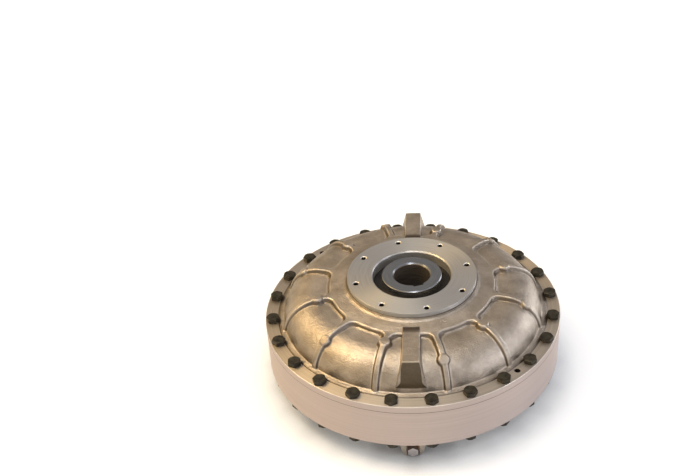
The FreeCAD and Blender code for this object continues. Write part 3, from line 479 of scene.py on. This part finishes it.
# The skin's drawn marks are painted light and shade: painted shade at wall feet, hub foot, lug feet
# and land edge, painted highlights on crests, feet and lug edges, and painted shade on the lugs'
# rougher ends.
cast_skin = casting_material("dome_skin", drawn_marks=[
    ("hollow", seam_and_shade_colour, 0.88, 0.0),
    ("shaded_rough_end", end_shade_colour, 0.85, 0.3),
    ("crest", painted_highlight_colour, 0.42, 0.0),
])


def smooth_max(first, second, blend):
    """The larger of two heights, with a fillet where they meet."""
    share = np.clip(0.5 + 0.5 * (first - second) / blend, 0.0, 1.0)
    return second * (1 - share) + first * share + blend * share * (1 - share)


def smooth_min(first, second, blend):
    """The smaller of two heights, with a rounding where they meet."""
    return -smooth_max(-first, -second, blend)


def fade(value, start, end):
    """1 before a start and 0 past an end, eased between them."""
    share = np.clip((end - value) / (end - start), 0.0, 1.0)
    return share * share * (3.0 - 2.0 * share)


def soft_line(value, centre, width):
    """1 on a line and nearly 0 two widths away from it."""
    return np.exp(-((value - centre) / width) ** 2)


def feature_angles(zones):
    """Angles round the part, close together in the ribs' and lugs' zones of centre, reach
    and step, in degrees."""
    angles = [angle for angle in np.arange(0.0, 360.0, coarse_step)
              if all(abs((angle - centre + 180.0) % 360.0 - 180.0) > reach
                     for centre, reach, _ in zones)]
    for centre, reach, step in zones:
        angles.extend((centre + np.arange(-reach, reach + step / 2, step)) % 360.0)
    return np.radians(np.unique(np.round(angles, 4)))


def surface_grid(dome, foot, land_r, theta):
    """Rows from the land up the dome's arc and in across its flat, and where outward is."""
    first = math.degrees(math.atan2(foot + land_rise, land_r - section_r))
    arc = np.radians(np.linspace(first, 90.0, arc_rows))
    flat = np.linspace(section_r, hub_r, flat_rows)[1:]
    base_r = np.concatenate([section_r + dome * np.cos(arc), flat])
    base_h = np.concatenate([dome * np.sin(arc), np.full(len(flat), dome)])
    out_r = np.concatenate([np.cos(arc), np.zeros(len(flat))])
    out_h = np.concatenate([np.sin(arc), np.ones(len(flat))])
    return SimpleNamespace(
        base_r=base_r, base_h=base_h, out_r=out_r, out_h=out_h, dome=dome,
        r=base_r[:, None], t=theta[None, :], cosine=out_r[:, None], sine=out_h[:, None],
        on_arc=out_r[:, None] > 1e-6, arc_angle=np.arctan2(out_h[:, None], out_r[:, None]))


def rib_pattern(grid, crest_rise):
    """Ribs, bosses and plateau: their heights over the dome, the painted shade at the feet of their
    walls and at the hub's foot, and the painted highlights on their crests and feet."""
    on_arc, sine, cosine, r, dome = grid.on_arc, grid.sine, grid.cosine, grid.r, grid.dome
    shift = section_r - rib_mid_r
    crest = np.where(on_arc,
                     -shift * cosine + np.sqrt(crest_rise**2 - (shift * sine) ** 2) - dome,
                     crest_rise - dome)
    edge = np.where(on_arc, (section_r - plateau_edge_r) + (math.pi / 2 - grid.arc_angle) * dome,
                    r - plateau_edge_r)
    gap = np.full((grid.r.shape[0], grid.t.shape[1]), far_away)
    pip_gap = gap.copy()
    for number, angle in enumerate(rib_angles):
        turn = grid.t - math.radians(angle)
        near = np.cos(turn) > near_cosine
        side = (r + crest * cosine) * np.sin(turn)
        pip_angle = math.acos((pip_reaches[number % 2] - rib_mid_r) / crest_rise)
        along = np.where(on_arc, (grid.arc_angle - pip_angle) * crest_rise,
                         (section_r - r) + (math.pi / 2 - pip_angle) * crest_rise)
        to_pip = np.hypot(side, along) - pip_radius
        to_rib = smooth_min(np.abs(side) - rib_half_width, to_pip, pip_fillet)
        gap = np.where(near, np.minimum(gap, to_rib), gap)
        pip_gap = np.where(near, np.minimum(pip_gap, to_pip), pip_gap)
    gap = smooth_min(gap, edge, corner_fillet)
    plateau = plateau_rise + plateau_dish * (plateau_r - r) / (plateau_r - plateau_foot_r)
    hub_foot = np.clip((plateau_foot_r - r) / (plateau_foot_r - hub_r), 0.0, 1.0)
    plateau = plateau + hub_fillet_rise * hub_foot**2
    level = crest + (plateau - crest) * fade(edge, *plateau_ramp)
    level = level + pip_proud * fade(pip_gap, *pip_ramp)
    raised = smooth_min(level, level - wall_slope * gap, top_rounding)
    height = smooth_max(np.zeros_like(raised), raised, foot_fillet)

    strength = np.clip(level / full_paint_height, 0.0, 1.0)
    past_foot = gap - level / wall_slope
    steep = (1.0 - fade(gap, *wall_from)) * fade(past_foot, *wall_past)
    # Painted shade: darker at the steep feet of the rib walls and round the hub's foot.
    hollow = np.maximum(wall_shade * steep * strength, hub_foot_shade * fade(r - hub_r, *hub_foot_shade_ramp))
    # Painted highlights: a line just past each wall's foot, kept off the bosses, and a line along
    # the crests.
    foot_highlight = soft_line(past_foot, foot_highlight_at, foot_highlight_width) * strength
    foot_highlight = foot_highlight * (1.0 - fade(pip_gap, *foot_highlight_off_pip))
    crest_highlight = soft_line(gap, crest_highlight_at, crest_highlight_width)
    return height, hollow, np.maximum(crest_highlight, foot_highlight)


def with_lug(grid, angle, height, hollow, painted_highlights, shaded_rough_end):
    """A plain lug run into the dome: flat on top, drafted flanks, and a rougher end with painted
    shade. It adds painted shade along its foot and painted highlights on its edges.
    """
    on_arc, sine, cosine, dome = grid.on_arc, grid.sine, grid.cosine, grid.dome
    turn = grid.t - math.radians(angle)
    near = np.cos(turn) > near_cosine
    top_limit = np.where(on_arc, lug_top / sine - dome, lug_top - dome)
    end_reach = (lug_end_r - section_r) / (cosine + lug_end_draft * sine)
    end_limit = np.where(on_arc, end_reach - dome, far_above)
    body = smooth_min(top_limit, end_limit, lug_nose_r)
    side = np.abs((grid.r + body * cosine) * np.sin(turn))
    flank_level = lug_top - (side - lug_top_half) / lug_side_draft
    flank = np.where(on_arc, flank_level / sine - dome, flank_level - dome)
    lug = smooth_min(body, flank, lug_edge_r)
    lug = lug - lug_root_drop * fade(grid.r - plateau_foot_r, *lug_root_ramp)
    lug = np.where(near, lug, far_below)

    stands = lug - height
    covered = 1.0 - fade(-stands, 0.0, 1.0)
    # Painted shade along the foot of the lug.
    lug_foot_shade = np.where(near & (grid.arc_angle > lug_shade_from_angle),
                         soft_line(stands, lug_shade_at, lug_shade_width), 0.0)
    # Painted shade on the lug's end face, which is also made rougher.
    at_end = (on_arc & (end_limit - body < 1.0) & (flank > body + 0.5)
              & (stands > end_shade_from_height) & (grid.arc_angle > end_shade_from_angle))
    # Painted highlights along the lug's top and end edges.
    edges = np.maximum(soft_line(flank, body, lug_highlight_width),
                       soft_line(end_limit, top_limit, lug_highlight_width))
    edges = np.where(stands > lug_highlight_from_height, edges, 0.0)
    return (smooth_max(height, lug, lug_fillet),
            np.maximum(hollow * covered, lug_foot_shade),
            np.maximum(painted_highlights * covered, edges),
            np.where(at_end, 1.0, shaded_rough_end))


def dome_skin(name, way, centre_z, dome, foot, crest_rise, land_r, lugs, fine):
    """One dome's skin, closed underneath. Heights run from the section centre along way."""
    theta = feature_angles([(angle, rib_zone, fine) for angle in rib_angles]
                           + [(angle, lug_zone, fine / 1.2) for angle in lugs])
    grid = surface_grid(dome, foot, land_r, theta)
    height, hollow, painted_highlights = rib_pattern(grid, crest_rise)
    shaded_rough_end = np.zeros_like(height)
    for angle in lugs:
        height, hollow, painted_highlights, shaded_rough_end = with_lug(grid, angle, height, hollow, painted_highlights,
                                                       shaded_rough_end)
    height = height + skin_cover
    land = np.where(grid.on_arc, (foot + land_rise) / grid.sine - dome, far_below)
    clear_of_land = 1.0 - fade(height - land, 0.6, land_fillet)
    height = smooth_max(height, land, land_fillet)

    columns = len(theta)
    flat_row = np.zeros((1, columns))
    under = list(range(len(grid.base_r) - 1, -1, -rows_per_under_row))
    if under[-1] != 0:
        under.append(0)
    low_r = (grid.base_r - skin_depth * grid.out_r)[under][:, None] + flat_row
    low_h = (grid.base_h - skin_depth * grid.out_h)[under][:, None] + flat_row
    all_r = np.concatenate([flat_row + land_r, grid.r + height * grid.cosine, low_r])
    all_h = np.concatenate([flat_row + (foot - land_drop),
                            grid.base_h[:, None] + height * grid.sine, low_h])
    points = np.stack([all_r * np.cos(grid.t), all_r * np.sin(grid.t), centre_z + way * all_h],
                      axis=-1) / metre
    index = np.arange(all_r.size).reshape(all_r.shape)
    across = np.roll(index, -1, axis=1)
    quads = np.stack([index, across, np.roll(across, -1, axis=0), np.roll(index, -1, axis=0)],
                     axis=-1).reshape(-1, 4)
    if way < 0:
        quads = quads[:, ::-1]
    mesh = bpy.data.meshes.new(name)
    mesh.from_pydata(points.reshape(-1, 3).tolist(), [], quads.tolist())
    mesh.polygons.foreach_set("use_smooth", [True] * len(mesh.polygons))
    for mark, values in (("hollow", hollow * clear_of_land), ("crest", painted_highlights * clear_of_land),
                         ("shaded_rough_end", shaded_rough_end)):
        rows = np.concatenate([flat_row, values, np.zeros_like(low_r)])
        # Painted shade along the land's edge, where the skin meets the machined flange.
        if mark == "hollow":
            rows[:land_shade_rows] = land_edge_shade
        drawn = mesh.attributes.new(mark, "FLOAT", "POINT")
        drawn.data.foreach_set("value", rows.ravel())
    mesh.update()
    skin = bpy.data.objects.new(name, mesh)
    bpy.context.scene.collection.objects.link(skin)
    skin.data.materials.append(cast_skin)
    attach(skin, "casing")


dome_skin("front_dome_skin", 1, centre_z=93.0, dome=44.0, foot=7.0, crest_rise=50.0,
          land_r=183.2, lugs=lug_angles, fine=0.3)
dome_skin("rear_dome_skin", -1, centre_z=62.0, dome=37.0, foot=27.0, crest_rise=43.0,
          land_r=166.4, lugs=(), fine=0.4)


# The rim bolts and nuts: hexagon-headed steel screws in a black oil finish, with
# the chamfer of a turned head, and plain nuts on the threads at the rear. Each head
# and nut stops at a turn of its own.

bolt_circle = 0.190
bolt_count = 24
bolt_radius = 0.005
thread_chamfer = 0.0009
head_across = 0.016
head_height = 0.0064
nut_height = 0.008
nut_chamfer = 0.0011
head_face_radius = head_across / 2 * 0.94
nut_face_radius = head_across / 2 * 0.95
corner_radius = head_across / 2 * 1.155
head_turn, nut_turn = 2.399, 1.7
ring_points = 48
cover_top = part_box("rim_bolts")[1].z - head_height
head_top = cover_top + head_height
nut_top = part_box("rim_nuts")[1].z
nut_foot = nut_top - nut_height
bolt_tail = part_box("rim_bolts")[0].z


def grained_material(name, scale, detail, colours, low, high):
    """A finish with a grain of two tones, and the socket of its grain."""
    material, tree, shader = new_material(name)
    place = add_node(tree, "ShaderNodeTexCoord").outputs["Object"]
    grain = add_node(tree, "ShaderNodeTexNoise", {"Scale": scale, "Detail": detail})
    tree.links.new(place, grain.inputs["Vector"])
    tree.links.new(two_tones(tree, grain.outputs["Fac"], colours, low, high),
                   shader.inputs["Base Color"])
    return material, tree, shader, grain.outputs["Fac"]


black_steel, black_tree, black_shader, black_wear = grained_material(
    "black_steel", 140.0, 4.0, [(0.022, 0.021, 0.017, 1.0), (0.075, 0.070, 0.055, 1.0)], 0.3, 0.75)
black_tree.links.new(spread(black_tree, black_wear, 0.0, 1.0, 0.34, 0.55),
                     black_shader.inputs["Roughness"])
black_bump = add_node(black_tree, "ShaderNodeBump", {"Strength": 0.2, "Distance": 0.0003})
black_tree.links.new(black_wear, black_bump.inputs["Height"])
black_tree.links.new(black_bump.outputs["Normal"], black_shader.inputs["Normal"])
black_shader.inputs["Metallic"].default_value = 0.7


def round_ring(radius, height):
    return [(radius * math.cos(2 * math.pi * k / ring_points),
             radius * math.sin(2 * math.pi * k / ring_points), height)
            for k in range(ring_points)]


def hex_ring(limit, height, turn):
    """A hexagon cut back to a circle where its corners reach past a limit."""
    ring = []
    for k in range(ring_points):
        angle = 2 * math.pi * k / ring_points
        sector = (angle + math.pi / 6) % (math.pi / 3) - math.pi / 6
        reach = min(head_across / 2 / math.cos(sector), limit)
        ring.append((reach * math.cos(angle + turn), reach * math.sin(angle + turn), height))
    return ring


def ring_stack(mesh, rings, centre, closed=False):
    """Skin a stack of equal rings of points about a centre, with end caps or closed round."""
    loops = [[mesh.verts.new(Vector(point) + centre) for point in ring] for ring in rings]
    pairs = list(zip(loops, loops[1:]))
    if closed:
        pairs.append((loops[-1], loops[0]))
    for lower, upper in pairs:
        for k in range(ring_points):
            after = (k + 1) % ring_points
            mesh.faces.new((lower[k], lower[after], upper[after], upper[k]))
    if not closed:
        mesh.faces.new(loops[0][::-1])
        mesh.faces.new(loops[-1])


def bolt_places():
    """The number and centre of each bolt round the rim."""
    for k in range(bolt_count):
        angle = 2 * math.pi * (k + 0.5) / bolt_count
        yield k, Vector((bolt_circle * math.cos(angle), bolt_circle * math.sin(angle), 0.0))


def show_fasteners(name, mesh, node):
    """Finish the built fasteners as a piece of the casing that stands for a node."""
    bmesh.ops.recalc_face_normals(mesh, faces=mesh.faces)
    data = bpy.data.meshes.new(name)
    mesh.to_mesh(data)
    mesh.free()
    piece = bpy.data.objects.new(name, data)
    bpy.context.scene.collection.objects.link(piece)
    data.materials.append(black_steel)
    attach(piece, "casing")
    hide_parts(node)


bolts = bmesh.new()
for k, centre in bolt_places():
    turn = head_turn * k
    ring_stack(bolts, [
        round_ring(bolt_radius - thread_chamfer, bolt_tail),
        round_ring(bolt_radius - 0.0001, bolt_tail + thread_chamfer),
        round_ring(bolt_radius, bolt_tail + 0.0015),
        round_ring(bolt_radius, cover_top),
        hex_ring(corner_radius - 0.0006, cover_top, turn),
        hex_ring(corner_radius, cover_top + 0.0004, turn),
        hex_ring(corner_radius, head_top - 0.0012, turn),
        hex_ring(head_face_radius + 0.0007, head_top - 0.0005, turn),
        round_ring(head_face_radius - 0.0001, head_top - 0.0001),
        round_ring(head_face_radius - 0.0006, head_top),
    ], centre)
show_fasteners("rim_bolts_black", bolts, "rim_bolts")

nuts = bmesh.new()
for k, centre in bolt_places():
    turn = nut_turn * k
    ring_stack(nuts, [
        round_ring(bolt_radius + 0.00005, nut_foot + 0.0008),
        round_ring(bolt_radius + 0.0006, nut_foot),
        round_ring(nut_face_radius, nut_foot),
        hex_ring(corner_radius, nut_foot + nut_chamfer, turn),
        hex_ring(corner_radius, nut_top - nut_chamfer, turn),
        round_ring(nut_face_radius, nut_top),
        round_ring(bolt_radius + 0.0006, nut_top),
        round_ring(bolt_radius + 0.00005, nut_top - 0.0008),
    ], centre, closed=True)
show_fasteners("rim_nuts_black", nuts, "rim_nuts")


# The hollow shaft: alloy steel, turned and ground on its end face and bore, with
# a keyway broached through it. The bearings' races and rollers, the retaining rings
# and the seal springs are bright steel as well.

shaft_bore_reach = 0.0246
shaft_wall_reach = 0.0398
shaft_ring_spacing = 0.0005
shaft_face_colours = [(0.175, 0.195, 0.23, 1.0), (0.285, 0.315, 0.365, 1.0)]
bore_shade_colours = [(0.085, 0.073, 0.062, 1.0), (0.230, 0.200, 0.170, 1.0)]
wall_lit_colours = [(0.52, 0.515, 0.51, 1.0), (0.76, 0.75, 0.74, 1.0)]
bore_metal_cut = 0.4
streaks_round, streaks_along = 1.1, 900.0

shaft_steel, shaft_tree, shaft_shader = new_material("shaft_steel")
_, shaft_radius, shaft_height, shaft_angle = cylinder_place(shaft_tree)
shaft_rings = turning_marks(shaft_tree, shaft_radius, shaft_height, shaft_angle,
                            shaft_ring_spacing)
honing = add_node(shaft_tree, "ShaderNodeCombineXYZ")
shaft_tree.links.new(calculated(shaft_tree, "MULTIPLY", shaft_angle, streaks_round),
                     honing.inputs["X"])
shaft_tree.links.new(calculated(shaft_tree, "MULTIPLY", shaft_height, streaks_along),
                     honing.inputs["Y"])
streaks = add_node(shaft_tree, "ShaderNodeTexNoise", {"Scale": 1.0, "Detail": 2.0})
shaft_tree.links.new(honing.outputs["Vector"], streaks.inputs["Vector"])
# The end face keeps the steel's own tone. The outer wall is a lighter copy of it, painted light,
# and the bore is a darker brown copy, painted shade in its depth. The bore is also made less
# metallic.
face_tone = two_tones(shaft_tree, shaft_rings, shaft_face_colours, 0.3, 0.7)
bore_shade_tone = two_tones(shaft_tree, streaks.outputs["Fac"], bore_shade_colours, 0.30, 0.72)
wall_lit_tone = two_tones(shaft_tree, streaks.outputs["Fac"], wall_lit_colours, 0.3, 0.7)
in_bore = calculated(shaft_tree, "LESS_THAN", shaft_radius, shaft_bore_reach)
on_wall = calculated(shaft_tree, "GREATER_THAN", shaft_radius, shaft_wall_reach)
outside_tone = mixed(shaft_tree, on_wall, face_tone, wall_lit_tone)
shaft_tree.links.new(mixed(shaft_tree, in_bore, outside_tone, bore_shade_tone),
                     shaft_shader.inputs["Base Color"])
bore_less_metal = calculated(shaft_tree, "MULTIPLY", in_bore, bore_metal_cut)
shaft_tree.links.new(calculated(shaft_tree, "SUBTRACT", 1.0, bore_less_metal),
                     shaft_shader.inputs["Metallic"])
smoother = calculated(shaft_tree, "MULTIPLY", on_wall, 0.05)
shaft_tree.links.new(calculated(shaft_tree, "SUBTRACT", 0.30, smoother),
                     shaft_shader.inputs["Roughness"])
shaft_bump = add_node(shaft_tree, "ShaderNodeBump", {"Strength": 0.15, "Distance": 0.0002})
shaft_tree.links.new(shaft_rings, shaft_bump.inputs["Height"])
shaft_tree.links.new(shaft_bump.outputs["Normal"], shaft_shader.inputs["Normal"])
finish_node("hollow_shaft", shaft_steel)
for part in ("bearing_inner_race", "bearing_outer_race", "bearing_rollers", "retaining_ring",
             "seal_spring"):
    finish_node("front_" + part, shaft_steel)
    finish_node("rear_" + part, shaft_steel)


# The oil seals: a pressed case in black lacquer and a lip of nitrile rubber, deep
# in the mouth of each hub. The joint cord is the same rubber.

seal_black, _, seal_shader, _ = grained_material(
    "seal_black", 90.0, 3.0, [(0.008, 0.008, 0.009, 1.0), (0.022, 0.021, 0.021, 1.0)], 0.3, 0.8)
seal_shader.inputs["Roughness"].default_value = 0.55
seal_shader.inputs["Specular IOR Level"].default_value = 0.25
for name in ("front_seal_case", "front_seal_lip", "rear_seal_case", "rear_seal_lip",
             "joint_cord"):
    finish_node(name, seal_black)


# The lug plugs: plated steel hexagon plugs on soft copper washers. The one with a
# drilled middle holds the low-melting metal. The wheel's screws are plated steel too,
# and the bearings' cages are of copper alloy.

plug_steel, _, plug_shader, _ = grained_material(
    "plug_steel", 200.0, 3.0, [(0.46, 0.43, 0.43, 1.0), (0.62, 0.58, 0.57, 1.0)], 0.3, 0.7)
plug_shader.inputs["Metallic"].default_value = 1.0
plug_shader.inputs["Roughness"].default_value = 0.38
for name in ("filler_plug", "fusible_plug", "fusible_core", "wheel_screws"):
    finish_node(name, plug_steel)

copper, _, copper_shader, _ = grained_material(
    "washer_copper", 150.0, 3.0, [(0.52, 0.25, 0.15, 1.0), (0.76, 0.43, 0.30, 1.0)], 0.3, 0.7)
copper_shader.inputs["Metallic"].default_value = 1.0
copper_shader.inputs["Roughness"].default_value = 0.35
for name in ("filler_plug_gasket", "fusible_plug_gasket", "front_bearing_cage",
             "rear_bearing_cage"):
    finish_node(name, copper)
